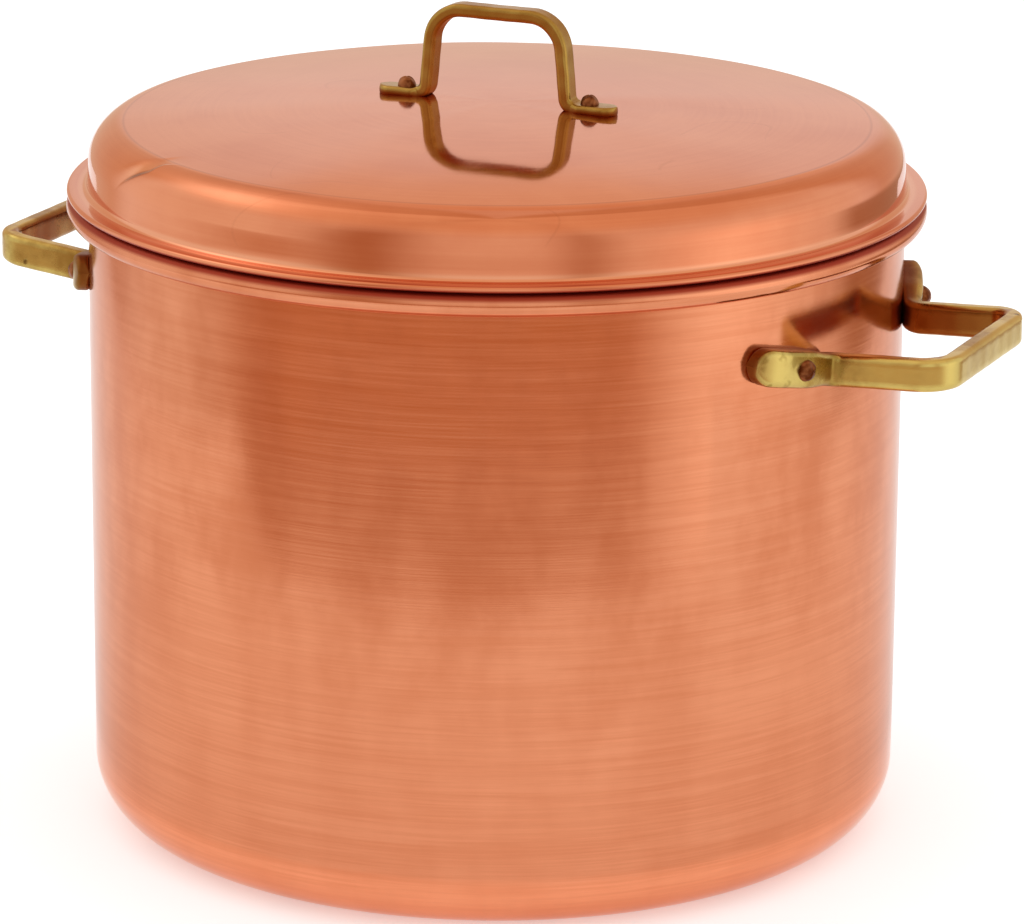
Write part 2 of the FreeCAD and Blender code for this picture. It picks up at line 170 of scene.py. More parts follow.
def turned(section, columns, waves=(), settled=None):
    """Points (radius cos v, radius sin v, height) for each point of a section and each angle v.

    The section's inside points are the grid, its two ends on the axis are the poles. Waves move each
    point along the section's own normal, faded by settled, a number per point."""
    inner = section[1:-1]
    angle = np.linspace(0, 2 * math.pi, columns, endpoint=False)[None, :]
    radius, height = inner[:, :1] + 0 * angle, inner[:, 1:] + 0 * angle
    if waves:
        run = unit(np.gradient(inner, axis=0))
        move = ripple(height, angle, waves) * settled(inner)[:, None]
        radius, height = radius + run[:, 1:] * move, height - run[:, :1] * move
    grid = np.stack([radius * np.cos(angle), radius * np.sin(angle), height], -1)
    poles = [(0, 0, section[0, 1]), (0, 0, section[-1, 1])]
    return grid, poles


# %% [markdown]
# The pot: a flat floor, a generous corner, a straight wall and a rim that turns out, runs flat for the
# lid's seat and curls back under itself. The section goes from the middle of the floor's underside, up the
# outside, over the rim and down the inside. Slow waves of a tenth or two of a millimetre keep the
# reflections from looking machined.

# %% Pot
POT_RADIUS, POT_HEIGHT, WALL, CORNER, TIN = 120.0, 190.0, 2.0, 19.0, 0.3
CURL, RIM_LAND, CURL_TURN = 1.65, 1.0, 112.0
POT_COLUMNS, RIM_STEP = 264, 0.25
WAVES_START, WAVES_END, WAVES_EASE = 6.0, 176.0, 20.0
curl_outer = CURL + WALL
curl_level = POT_HEIGHT - curl_outer
curl_near = POT_RADIUS + CURL
curl_far = curl_near + RIM_LAND
floor_radius = POT_RADIUS - CORNER
inner_radius = POT_RADIUS - WALL
lined_radius = inner_radius - TIN

pot_section = half_section(
    (0, 0),
    arc((floor_radius, CORNER), CORNER, -90, 0),
    arc((curl_near, curl_level), CURL, 180, 90, RIM_STEP),
    arc((curl_far, curl_level), CURL, 90, -CURL_TURN, RIM_STEP),
    arc((curl_far, curl_level), curl_outer, -CURL_TURN, 90, RIM_STEP),
    arc((curl_near, curl_level), curl_outer, 90, 180, RIM_STEP),
    arc((floor_radius, CORNER), CORNER - WALL, 0, -90),
    (0, WALL))


def wall_waves_fade(points):
    """1 on the wall, easing to 0 at the corner below and under the rim above."""
    height = points[:, 1]
    above, under = (height - WAVES_START) / WAVES_EASE, (WAVES_END - height) / WAVES_EASE
    return np.clip(above, 0, 1) * np.clip(under, 0, 1)


# waves: size, turns round the axis, climb in radians per metre, start
POT_WAVES = [(0.10, 3, 9, 0.4), (0.06, 5, -14, 2.1), (0.04, 9, 22, 4.0)]
spun_pot = make_piece("spun_pot", *turned(pot_section, POT_COLUMNS, POT_WAVES, wall_waves_fade))

# %% [markdown]
# Copper taints food, so the inside is wiped with molten tin. It is a skin a third of a millimetre thick
# that ends under the rim. A second turned section follows the inside of the wall.

# %% Tin lining of the pot
TIN_COLUMNS = 192
tin_section = half_section(
    (0, WALL),
    arc((floor_radius, CORNER), CORNER - WALL, -90, 0),
    (inner_radius, curl_level),
    (lined_radius, curl_level),
    arc((floor_radius, CORNER), CORNER - WALL - TIN, 0, -90),
    (0, WALL + TIN))
pot_tinning = make_piece("pot_tinning", *turned(tin_section, TIN_COLUMNS))

# %% [markdown]
# The lid: a nearly flat crown, a round shoulder, a short leaning wall and a flange folded double, which
# rests on the rim. A skirt drops inside the pot to keep it centred. The section starts under the middle of
# the crown, runs out to the skirt and the flange, and comes back over the top.

# %% Lid
LID_SHEET, FLANGE_INSET, FLANGE_WIDTH, FLANGE_FILLET = 0.9, 0.1, 6.0, 1.6
LID_WALL_HEIGHT, LID_DRAFT, SHOULDER, CROWN = 8.4, 3.5, 11.4, 1170.0
SKIRT_GAP, SKIRT_DEPTH, SKIRT_BEND = 1.0, 10.0, 1.2
LID_COLUMNS, LID_STEP, CROWN_STEP, FOLD_STEP = 304, 3.0, 2.0, 0.2
FLANGE_STILL, FLANGE_EASE, AXIS_EASE = 2.0, 8.0, 60.0
lean = math.radians(LID_DRAFT)
flange_top = POT_HEIGHT + 2 * LID_SHEET
ledge = POT_HEIGHT + LID_SHEET
flange_radius = curl_far + curl_outer - FLANGE_INSET
lid_wall_radius = flange_radius - FLANGE_WIDTH
fillet_run = FLANGE_FILLET / math.tan((math.pi / 2 + lean) / 2)
shoulder_radius = lid_wall_radius - LID_WALL_HEIGHT * math.sin(lean) - SHOULDER * math.cos(lean)
shoulder_level = flange_top + LID_WALL_HEIGHT * math.cos(lean) - SHOULDER * math.sin(lean)
crown_centre = shoulder_level - math.sqrt((CROWN - SHOULDER) ** 2 - shoulder_radius ** 2)
crown_edge = 90 - math.degrees(math.asin(shoulder_radius / (CROWN - SHOULDER)))
apex = crown_centre + CROWN
crease_radius = shoulder_radius + SHOULDER * math.cos(math.radians(crown_edge))
skirt_outer = inner_radius - SKIRT_GAP
skirt_end = POT_HEIGHT - SKIRT_DEPTH + LID_SHEET / 2


def lid_face(inset):
    """Crown and shoulder of the face that lies inset below the outside, from the axis outwards."""
    crown = arc((0, crown_centre), CROWN - inset, 90, crown_edge, CROWN_STEP)
    shoulder = arc((shoulder_radius, shoulder_level), SHOULDER - inset, crown_edge, LID_DRAFT)
    return np.concatenate([crown, shoulder])


def lid_wall_foot(inset):
    """Radius at which that face of the wall meets the flange's lower sheet."""
    return lid_wall_radius - inset / math.cos(lean) + LID_SHEET * math.tan(lean)


skirt_bend = (skirt_outer + SKIRT_BEND, POT_HEIGHT - SKIRT_BEND)
fillet = (lid_wall_radius + fillet_run, flange_top + FLANGE_FILLET)
lid_section = half_section(
    lid_face(LID_SHEET),
    (lid_wall_foot(LID_SHEET), ledge),
    arc(skirt_bend, SKIRT_BEND + LID_SHEET, 90, 180, RIM_STEP),
    arc((skirt_outer - LID_SHEET / 2, skirt_end), LID_SHEET / 2, 180, 360, FOLD_STEP),
    arc(skirt_bend, SKIRT_BEND, 180, 90, RIM_STEP),
    arc((flange_radius - LID_SHEET, ledge), LID_SHEET, -90, 90, FOLD_STEP),
    arc(fillet, FLANGE_FILLET, 270, 180 + LID_DRAFT, FOLD_STEP),
    lid_face(0)[::-1],
    step=LID_STEP)


def lid_waves_fade(points):
    """1 on the shoulder and the crown's outer part, easing to 0 at the flange and on the axis."""
    radius, height = points.T
    above = (height - flange_top - FLANGE_STILL) / FLANGE_EASE
    return np.clip(above, 0, 1) * np.clip(radius / AXIS_EASE, 0, 1)


LID_WAVES = [(0.07, 2, 0, 0.6), (0.05, 5, 40, 1.9), (0.035, 8, -60, 3.3), (0.02, 13, 90, 5.0)]
spun_lid = make_piece("spun_lid", *turned(lid_section, LID_COLUMNS, LID_WAVES, lid_waves_fade))
print("lid top at", round(apex, 2), "mm")

# %% [markdown]
# The inside of the lid is wiped with tin as well, from the middle out to the flange. The skin takes the same
# waves as the lid, so that the face that shows follows the copper above it.

# %% Tin lining of the lid
lid_tin_section = half_section(
    lid_face(LID_SHEET + TIN),
    (lid_wall_foot(LID_SHEET + TIN), ledge),
    (lid_wall_foot(LID_SHEET), ledge),
    lid_face(LID_SHEET)[::-1])
lid_tinning = make_piece("lid_tinning", *turned(lid_tin_section, TIN_COLUMNS, LID_WAVES, lid_waves_fade))

# %% [markdown]
# The handles are brass bars, bent cold, with their ends hammered into flat round feet. The bar is a rounded
# oblong carried along a bent line. Bevelled curves in Blender keep one section all along, so here the
# section changes on the way: wider in the feet, and drawn in to a half circle at each tip.

# %% Bent bars
BEND_POINTS, WORN_EASE, MOST_ROUND, LEAST_TIP = 24, 8, 0.48, 1e-4
# unevenness along a bar: share, radians per millimetre, turns round the section, start
BAR_WAVES = [(1.0, 0.31, 1, 0), (0.7, 0.83, -2, 1)]


def bent_line(corners, radii, step=0.45):
    """Evenly spaced points along straight runs whose inner corners are arcs of the given radii."""
    runs = [corners[:1]]
    for before, corner, after, radius in zip(corners, corners[1:], corners[2:], radii):
        back, ahead = unit(before - corner), unit(after - corner)
        half = math.acos(float(back @ ahead)) / 2
        middle = corner + unit(back + ahead) * radius / math.sin(half)
        sweep = np.linspace(half - math.pi / 2, math.pi / 2 - half, BEND_POINTS)[:, None]
        outward, onward = -unit(back + ahead), unit(ahead - back)
        runs.append(middle + radius * (np.cos(sweep) * outward + np.sin(sweep) * onward))
    line = np.concatenate([*runs, corners[-1:]])
    along = np.concatenate([[0], np.cumsum(np.linalg.norm(np.diff(line, axis=0), axis=1))])
    marks = np.linspace(0, along[-1], int(along[-1] / step))
    return np.stack([np.interp(marks, along, line[:, k]) for k in range(3)], -1), marks


def oblong(arc_points=8, side_points=5):
    """Centres of curvature, -1 to 1, and outward directions round an oblong with rounded corners.

    A point is (a - r) * centre_x + r * outward_x for half width a and rounding r, and the same for y."""
    quarter = np.linspace(0, math.pi / 2, arc_points)
    side = np.linspace(1, -1, side_points + 2)[1:-1]
    turns = np.repeat(np.arange(4), arc_points + side_points)
    angle = np.tile(np.concatenate([quarter, np.full(side_points, math.pi / 2)]), 4)
    cx = np.tile(np.concatenate([np.ones(arc_points), side]), 4)
    cy = np.ones_like(cx)
    outward = np.stack([np.cos(angle + turns * math.pi / 2), np.sin(angle + turns * math.pi / 2)])
    cosine, sine = np.cos(turns * math.pi / 2), np.sin(turns * math.pi / 2)
    return np.stack([cx * cosine - cy * sine, cx * sine + cy * cosine]), outward


def bar(line, marks, width_way, foot, shank, neck, rounding, worn):
    """Points of an oblong section carried along a line.

    foot and shank are (thickness, width). The section is the foot's up to the first neck, the bar's past
    the second, and eased between them. Within half a foot's width of each end the width follows a half
    circle. worn is the size of slow waves that make the faces uneven."""
    ahead = unit(np.gradient(line, axis=0))
    thick_way = unit(np.cross(ahead, width_way))
    wide_way = np.cross(thick_way, ahead)
    from_end = np.minimum(marks, marks[-1] - marks)
    ease = np.clip((from_end - neck[0]) / (neck[1] - neck[0]), 0, 1)
    ease = ease * ease * (3 - 2 * ease)
    thick = foot[0] + (shank[0] - foot[0]) * ease
    wide = foot[1] + (shank[1] - foot[1]) * ease
    tip = np.clip(1 - from_end / (foot[1] / 2), 0, 1)
    wide = wide * np.sqrt(np.maximum(1 - tip ** 2, LEAST_TIP))
    centre, outward = oblong()
    turn = np.arctan2(outward[1], outward[0])[None, :]
    uneven = sum(share * np.sin(pitch * marks[:, None] + turns * turn + start)
                 for share, pitch, turns, start in BAR_WAVES)
    uneven = worn * uneven * np.clip(from_end / WORN_EASE, 0, 1)[:, None]
    soft = np.minimum(rounding, MOST_ROUND * np.minimum(thick, wide))[:, None]
    p = (thick[:, None] / 2 - soft) * centre[0] + (soft + uneven) * outward[0]
    q = (wide[:, None] / 2 - soft) * centre[1] + (soft + uneven) * outward[1]
    grid = line[:, None] + p[..., None] * thick_way[:, None] + q[..., None] * wide_way[:, None]
    return grid, [line[0], line[-1]]


# %% [markdown]
# The side handles. Each foot lies on the wall and climbs a little to its tip. The legs then bend straight
# out, and the loop rises, more on the left than on the right, as they were set by eye. Points of a foot
# that would lie inside the pot are pushed out to its wall, which is how the real feet are dressed to seat,
# and the tips are hammered thinner.

# %% Side handles
BAR_HEIGHT, BAR_THICKNESS, BAR_ROUNDING = 9.3, 5.5, 1.7
HANDLE_HALF_SPAN, HANDLE_CORNER, HANDLE_BEND = 32.2, 8.0, 5.5
FOOT_HEIGHT, FOOT_SEAT, FOOT_SLOPE, FOOT_END, FOOT_TAPER = 10.6, 1.2, 11.0, 17.6, 7.0
FOOT_THINNING, THIN_RUN, NECK_EASE, WORN = 0.45, 11.0, 2.0, 0.02
RIVET_HALF_SPACING = 46.8
# side: way it faces, level of its rivets, rise of its loop in degrees, reach, thickness of its feet
SIDES = {"right": (1, POT_HEIGHT - 30.5, 3.0, 32.2, 5.8), "left": (-1, POT_HEIGHT - 27.1, 6.2, 29.2, 4.6)}


def rivet_way(thickness):
    """Angle of the rivets from the handle's middle, seen from above."""
    return math.asin(RIVET_HALF_SPACING / (POT_RADIUS + thickness))


def side_handle(level, rise, reach, thickness):
    """The handle's line on the +X side, from the rear foot's tip to the front one's, and its neck."""
    slope, angle = math.radians(FOOT_SLOPE), rivet_way(thickness)
    out_way = np.array([math.cos(angle), math.sin(angle), 0])
    foot_way = np.cross(UP, out_way) * math.cos(slope) + UP * math.sin(slope)
    rivet = out_way * (POT_RADIUS + (thickness - FOOT_SEAT) / 2) + UP * level
    tip = rivet + foot_way * FOOT_END
    bend = rivet - foot_way * ((rivet[1] - HANDLE_HALF_SPAN) / foot_way[1])
    grip = POT_RADIUS + reach
    corner = np.array([grip, HANDLE_HALF_SPAN, bend[2] + (grip - bend[0]) * math.tan(math.radians(rise))])
    half = np.array([tip, bend, corner])
    whole = np.concatenate([half, half[::-1] * [1, -1, 1]])
    line, marks = bent_line(whole, [HANDLE_BEND, HANDLE_CORNER, HANDLE_CORNER, HANDLE_BEND])
    to_bend = np.linalg.norm(tip - bend)
    return line, marks, (to_bend - HANDLE_BEND - FOOT_TAPER, to_bend - HANDLE_BEND + NECK_EASE)


handles = {}
for side, (facing, *form) in SIDES.items():
    line, marks, neck = side_handle(*form)
    foot, shank = (form[-1] + FOOT_SEAT, FOOT_HEIGHT), (BAR_THICKNESS, BAR_HEIGHT)
    grid, ends = bar(line, marks, UP, foot, shank, neck, BAR_ROUNDING, WORN)
    radius = np.hypot(grid[..., 0], grid[..., 1])
    at_tip = np.clip(1 - np.minimum(marks, marks[-1] - marks) / THIN_RUN, 0, 1)[:, None] ** 2
    stand_off = np.maximum(radius - POT_RADIUS, 0) * (1 - FOOT_THINNING * at_tip)
    grid[..., :2] *= ((POT_RADIUS + stand_off) / radius)[..., None]
    turn_about = np.array([facing, facing, 1])
    handles[side] = make_piece(side + "_grip", grid * turn_about, np.array(ends) * turn_about)

# %% [markdown]
# The lid's handle is a smaller bar of the same kind, a staple whose legs lean in. It stands upright, so its
# section's width lies across the lid, and its feet are dressed to the crown instead of a wall.

# %% Lid handle
LID_BAR_WIDTH, LID_BAR_THICKNESS, LID_BAR_ROUNDING = 6.3, 3.9, 1.2
LID_HANDLE_HEIGHT, LID_LEG_SPACING, LID_LEG_LEAN = 28.3, 22.6, 5.7
LID_CORNER, LID_BEND = 10.0, 3.2
LID_FOOT_WIDTH, LID_FOOT_THICKNESS, LID_FOOT_SEAT, LID_FOOT_END, LID_FOOT_TAPER = 8.0, 2.3, 0.6, 8.6, 1.2
LID_RIVET_OFFSET, LID_NECK_EASE, LID_WORN, LID_LINE_STEP = 29.4, 1.5, 0.03, 0.3
lid_foot_depth = LID_FOOT_THICKNESS + LID_FOOT_SEAT
lid_foot_top = crown_centre + math.sqrt(CROWN ** 2 - LID_RIVET_OFFSET ** 2) + LID_FOOT_THICKNESS
foot_line = lid_foot_top - lid_foot_depth / 2
grip_line = apex + LID_HANDLE_HEIGHT - LID_BAR_THICKNESS / 2
leg_top = LID_LEG_SPACING - (grip_line - foot_line) * math.tan(math.radians(LID_LEG_LEAN))

half = np.array([[LID_RIVET_OFFSET + LID_FOOT_END, 0, foot_line], [LID_LEG_SPACING, 0, foot_line],
                 [leg_top, 0, grip_line]])
line, marks = bent_line(np.concatenate([half, half[::-1] * [-1, 1, 1]]),
                        [LID_BEND, LID_CORNER, LID_CORNER, LID_BEND], LID_LINE_STEP)
to_bend = LID_RIVET_OFFSET + LID_FOOT_END - LID_LEG_SPACING
foot, shank = (lid_foot_depth, LID_FOOT_WIDTH), (LID_BAR_THICKNESS, LID_BAR_WIDTH)
neck = (to_bend - LID_BEND - LID_FOOT_TAPER, to_bend - LID_BEND + LID_NECK_EASE)
grid, ends = bar(line, marks, np.array([0.0, -1.0, 0.0]), foot, shank, neck, LID_BAR_ROUNDING, LID_WORN)
crown_height = crown_centre + np.sqrt(CROWN ** 2 - grid[..., 0] ** 2 - grid[..., 1] ** 2)
grid[..., 2] = np.maximum(grid[..., 2], crown_height)
lid_grip = make_piece("lid_grip", grid, ends)

# %% [markdown]
# Six copper rivets hold the handles: a shank through foot and sheet, a head hammered into a dome outside
# and a flat tail inside. Each is a small turned section about its own axis, which is then pointed away from
# the pot's axis, or up from the lid. Low waves on the dome are the marks of the hammer.

# %% Rivets
RIVET, RIVET_HEAD, RIVET_RISE, TAIL, TAIL_HEIGHT = 2.1, 3.1, 2.4, 4.5, 1.5
LID_RIVET, LID_HEAD, LID_RISE, LID_TAIL, LID_TAIL_HEIGHT = 1.6, 2.7, 2.7, 3.0, 1.0
tail_seat = math.sqrt(lined_radius ** 2 - TAIL ** 2)
lid_tail_seat = crown_centre + math.sqrt((CROWN - LID_SHEET - TIN) ** 2 - (LID_RIVET_OFFSET + LID_TAIL) ** 2)
RIVET_COLUMNS, TAIL_EDGE, HEAD_UNDERCUT, HAMMER_EASE = 48, 0.4, 0.05, 1.5
EDGE_STEP, DOME_STEP, RIVET_STEP = 0.1, 0.2, 0.4
HAMMERED = [(0.10, 3, 900, 0.5), (0.08, 5, -1300, 2.0)]
ASKEW, SIDEWAYS, NEARLY_UPRIGHT = [0.3, 0.2, 1.0], [1.0, 0.0, 0.0], 0.9


def rivet(shank, head, rise, grip, tail, tail_height):
    """A rivet about its own axis, its head's seat at level 0: a round dome above, shank and tail below."""
    ball = (head ** 2 + rise ** 2) / (2 * rise)
    edge = math.degrees(math.asin((rise - ball) / ball))
    section = half_section(
        (0, -grip - tail_height),
        arc((tail - TAIL_EDGE, TAIL_EDGE - grip - tail_height), TAIL_EDGE, -90, 0, EDGE_STEP),
        (tail, -grip), (shank, -grip), (shank, 0), (head - HEAD_UNDERCUT, 0),
        arc((0, rise - ball), ball, edge, 90, DOME_STEP), step=RIVET_STEP)
    return turned(section, RIVET_COLUMNS, HAMMERED, lambda points: np.clip(points[:, 1] / HAMMER_EASE, 0, 1))


def stand(grid, poles, place, axis):
    """The points turned so that their Z axis lies along the axis, and moved to the place."""
    side = unit(np.cross(axis, ASKEW if abs(axis[2]) < NEARLY_UPRIGHT else SIDEWAYS))
    basis = np.stack([side, np.cross(axis, side), axis])
    return grid @ basis + place, np.array(poles) @ basis + place


rivets = {}
for side, (facing, level, _, _, thickness) in SIDES.items():
    face, angle = POT_RADIUS + thickness, rivet_way(thickness)
    side_rivet = rivet(RIVET, RIVET_HEAD, RIVET_RISE, face - tail_seat, TAIL, TAIL_HEIGHT)
    for end, way in (("front", -1), ("rear", 1)):
        axis = np.array([facing * math.cos(angle), way * math.sin(angle), 0.0])
        name = f"{side}_handle_rivet_{end}"
        rivets[name] = make_piece(f"{side}_{end}_rivet", *stand(*side_rivet, axis * face + UP * level, axis))
small_rivet = rivet(LID_RIVET, LID_HEAD, LID_RISE, lid_foot_top - lid_tail_seat, LID_TAIL, LID_TAIL_HEIGHT)
for end, way in (("left", -1), ("right", 1)):
    place = np.array([way * LID_RIVET_OFFSET, 0.0, lid_foot_top])
    rivets["lid_rivet_" + end] = make_piece(f"lid_{end}_rivet", *stand(*small_rivet, place, UP))

# %% [markdown]
# Each piece takes over from its solid and rides on the body that carries it. The lid and all that is riveted
# to it lift together.

# %% Pieces take over from the solids
PIECES = [(spun_pot, "pot", "pot_body", "body_copper"), (pot_tinning, "pot", "pot_lining", "tin"),
          (spun_lid, "lid", "lid_shell", "lid_copper"), (lid_tinning, "lid", "lid_lining", "tin"),
          (lid_grip, "lid", "lid_handle", "brass"), (handles["right"], "pot", "right_handle", "brass"),
          (handles["left"], "pot", "left_handle", "brass")]
PIECES += [(piece, "lid" if node.startswith("lid") else "pot", node, "rivet_copper")
           for node, piece in rivets.items()]
for piece, body, node, slot in PIECES:
    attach(piece, body)
    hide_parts(node)
print(len(PIECES), "pieces in place of", len(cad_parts), "solids")

# %% [markdown]
# Finishes are written as sums and products of patterns. Wiring nodes by hand hides the idea in a web, so a
# small class stands for a socket: arithmetic on it adds Math nodes, and one method adds any other node.

# %% Shader arithmetic
class Wire:
    """An output socket. Arithmetic adds Math nodes to its tree, node() adds any other node."""

    def __init__(self, tree, socket=None):
        self.tree = tree
        self.socket = socket

    def node(self, kind, settings=None, inputs=None, output=0):
        """Add a node of a type: its settings first, then the values or wires of its inputs."""
        node = self.tree.nodes.new("ShaderNode" + kind)
        for key, setting in (settings or {}).items():
            setattr(node, key, setting)
        for key, value in (inputs or {}).items():
            if isinstance(value, Wire):
                self.tree.links.new(value.socket, node.inputs[key])
            else:
                node.inputs[key].default_value = value
        return Wire(self.tree, node.outputs[output])

    def math(self, operation, *others):
        return self.node("Math", {"operation": operation}, dict(enumerate((self, *others))))

    def __add__(self, other):
        return self.math("ADD", other)

    __radd__ = __add__

    def __sub__(self, other):
        return self.math("SUBTRACT", other)

    def __rsub__(self, other):
        return self * -1 + other

    def __mul__(self, other):
        return self.math("MULTIPLY", other)

    __rmul__ = __mul__

    def __truediv__(self, other):
        return self.math("DIVIDE", other)

    def __pow__(self, power):
        return self.math("POWER", power)

    def axis(self, letter):
        return self.node("SeparateXYZ", None, {0: self}, letter)

    def dot(self, way):
        """How far a vector reaches along a direction."""
        return self.node("VectorMath", {"operation": "DOT_PRODUCT"}, {0: self, 1: tuple(way)}, "Value")

    def between(self, low, high):
        """0 below low, 1 above high and a soft step from one to the other."""
        return self.node("MapRange", {"interpolation_type": "SMOOTHSTEP"},
                         {"Value": self, "From Min": low, "From Max": high})

    def past(self, low, high):
        """The same soft step for a length, between two places in millimetres."""
        return self.between(low * MM, high * MM)

    def hump(self, middle, spread):
        """1 at the middle, falling to 0.37 one spread to each side."""
        return (((self - middle) / spread) ** 2 * -1).math("EXPONENT")

    def noise(self, scale=1.0, detail=2.0, roughness=0.5):
        return self.node("TexNoise", None, {"Vector": self, "Scale": scale, "Detail": detail,
                                            "Roughness": roughness})

    def mix(self, low, high):
        """The low colour where this wire is 0, the high one where it is 1."""
        return self.node("Mix", {"data_type": "RGBA", "clamp_factor": True}, {0: self, 6: low, 7: high}, 2)

    def bump(self, strength, distance, over=None):
        """The normal of this height, laid over another normal where one is given."""
        under = {} if over is None else {"Normal": over}
        return self.node("Bump", None, {"Strength": strength, "Distance": distance, "Height": self, **under})

    def to(self, shader, socket):
        self.tree.links.new(self.socket, shader.inputs[socket])


def vector(x, y, z):
    return x.node("CombineXYZ", None, {"X": x, "Y": y, "Z": z})


def shade(red, green, blue):
    """A colour as seen on screen, 0 to 255, in the linear form that shaders use."""
    seen = np.array([red, green, blue]) / 255
    linear = np.where(seen <= 0.04045, seen / 12.92, ((seen + 0.055) / 1.055) ** 2.4)
    return (*linear.tolist(), 1.0)


def new_finish(name, metallic):
    """A material, its shader and its object coordinates in metres."""
    material = bpy.data.materials.new(name)
    material.use_nodes = True
    shader = material.node_tree.nodes["Principled BSDF"]
    shader.inputs["Metallic"].default_value = metallic
    return material, shader, Wire(material.node_tree).node("TexCoord", output="Object")


def wear(material, *pieces):
    for piece in pieces:
        piece.data.materials.append(material)
    print(material.name, "on", ", ".join(piece.name for piece in pieces))


# %% [markdown]
# Finishes on spun metal follow the lathe. Plain noise gives round blots, so here it is read off a drawn-out
# map, on which the angle counts little and the height much. That turns the blots into level brush lines.

# %% Patterns round the axis
def cylinder(place):
    """The three coordinates and the distance from the pot's axis."""
    x, y, z = (place.axis(letter) for letter in "XYZ")
    return x, y, z, (x * x + y * y) ** 0.5


def lathe_noise(place, around, up, detail, roughness, sloping=True):
    """Noise at (around * cos v, around * sin v, up * climb), where v is the angle round the axis.

    climb is the height, less the radius where the sheet slopes, so that a floor or a crown gets rings."""
    x, y, z, radius = cylinder(place)
    climb = z - radius if sloping else z
    return vector(x / radius * around, y / radius * around, climb * up).noise(1.0, detail, roughness)


# %% [markdown]
# The pot's copper was brushed round and round, so its grain runs level. Brown columns with ragged edges
# darken
# the upper half: partly tarnish from years of use, and partly painted reflection of the dark room. A painted
# picture could show the same but would stretch at the rounded corner, so grain, stripes and clouds are all
# noise in space. The curl of the rim is painted dark red as shade, for the shadowed gap under the lid's
# flange.

# %% Satin copper of the pot
BRUSHED_DEEP, BRUSHED_PALE = shade(218, 136, 97), shade(227, 147, 108)
# The brown is partly tarnish and partly painted reflection; the red is painted shade under the lid's flange.
TARNISH_AND_REFLECTION_BROWN, SEAM_SHADE_RED = shade(188, 98, 56), shade(150, 42, 28)
SATIN_TINT = (0.92, 0.86, 0.83, 1.0)
satin, shader, place = new_finish("satin_copper", 1.0)
_, _, z, radius = cylinder(place)
grain = lathe_noise(place, 3.5, 1700, 3.0, 0.6)
stripes = lathe_noise(place, 1.6, 420, 3.0, 0.55)
columns = lathe_noise(place, 4.2, 7, 2.0, 0.45, sloping=False)
clouds = lathe_noise(place, 6, 30, 4.0, 0.6, sloping=False)
# Brown columns and clouds, stronger higher up: partly tarnish and partly painted reflection of the dark
# room.
tarnish_and_reflection = (columns * 0.6 + clouds * 0.6).between(0.48, 0.76) * (0.35 + z.past(30, 120) * 0.65)
# Painted shade: the curl of the rim is painted dark red where it lies in the shadowed gap under the lid's
# flange.
seam_shade = z.past(187.1, 188.4) * radius.past(123.6, 124.4)
colour = (grain * 0.5 + stripes * 0.5).between(0.34, 0.66).mix(BRUSHED_DEEP, BRUSHED_PALE)
colour = (tarnish_and_reflection * 0.45).mix(colour, TARNISH_AND_REFLECTION_BROWN)
colour = (seam_shade * 0.9).mix(colour, SEAM_SHADE_RED)
colour.to(shader, "Base Color")
(0.08 + stripes * 0.06 + grain * 0.04 + tarnish_and_reflection * 0.03 + seam_shade * 0.3).to(shader, "Roughness")
(grain * 0.7 + stripes * 0.3).bump(0.07, 0.0001).to(shader, "Normal")
shader.inputs["Specular Tint"].default_value = SATIN_TINT
wear(satin, spun_pot)

# %% [markdown]
# The lid was buffed almost to a mirror. Its colour is nearly even, so what makes it real is in the
# roughness: faint clouds of handling, fine rings from the buffing wheel, and a few hair scratches, which are
# the thin level lines of a slow noise. The corner above the flange is paler, a painted highlight, a fine
# dark line round the edge of the crown is a painted reflection, and the flange's underside is painted dark
# red as shade.

# %% Patterns on the lid
polished, shader, place = new_finish("polished_copper", 1.0)
_, _, z, radius = cylinder(place)
rings = lathe_noise(place, 1.8, 900, 2.0, 0.5)
clouds = place.noise(28.0, 4.0, 0.6)
slow = place.noise(9.0, 2.0, 0.5)
hairs = 1 - (place.noise(16.0, 1.0, 0.4) - 0.5).math("ABSOLUTE").between(0.0, 0.004)
hairs = hairs * place.noise(40.0, 2.0, 0.5).between(0.52, 0.62)
# Painted shade: the flange's underside is painted dark red where it lies in the shadowed gap over the rim.
seam_shade = (1 - z.past(190.5, 191.0)) * radius.past(122.5, 123.5)
# Painted highlight: the corner above the flange is painted paler, where it catches the light.
fold_highlight = (1 - z.past(193.0, 194.2)) * z.past(191.4, 191.7) * radius.past(118.5, 119.0)
fold_highlight = fold_highlight * (1 - radius.past(122.2, 123.5))
# Painted reflection: a fine dark line round the edge of the crown, where the shoulder mirrors darker
# surroundings.
crease_reflection = radius.hump(crease_radius * MM, 0.4 * MM) * z.past(205, 207)
print("crown's edge at radius", round(crease_radius, 2), "mm")

# %% [markdown]
# A knock on the left shoulder left a short dent. Its dark fold along the lower edge is painted shade, and a
# paler patch on the dent is a painted highlight. Sculpting it would need a far finer mesh than the rest of
# the lid, so it is pressed in by a bump. Two directions lie along and across the dent, and run and side
# measure how far a point is from its middle each way.

# %% Knock on the lid's shoulder
KNOCK = np.array([-67.3, -95.4, 207.1])
KNOCK_ALONG = unit(np.array([0.887, -0.247, 0.390]))
KNOCK_UP = unit(np.array([-0.073, 0.759, 0.647]))
KNOCK_DEPTH, KNOCK_SWERVE = 0.6, 2.5
run = place.dot(KNOCK_ALONG) - float(KNOCK @ KNOCK_ALONG) * MM
side = place.dot(KNOCK_UP) - float(KNOCK @ KNOCK_UP) * MM - run.past(3, 8) * (KNOCK_SWERVE * MM)
knock = side.past(-0.4, 0.4) * (1 - side.past(1, 7)) * run.hump(-0.5 * MM, 6.5 * MM)
# Painted shade along the dent's lower edge.
knock_fold_shade = side.hump(0.0, 0.7 * MM) * run.hump(-1.0 * MM, 6.0 * MM) * radius.past(105, 108)
print("knock", KNOCK_DEPTH, "mm deep at", KNOCK.tolist())
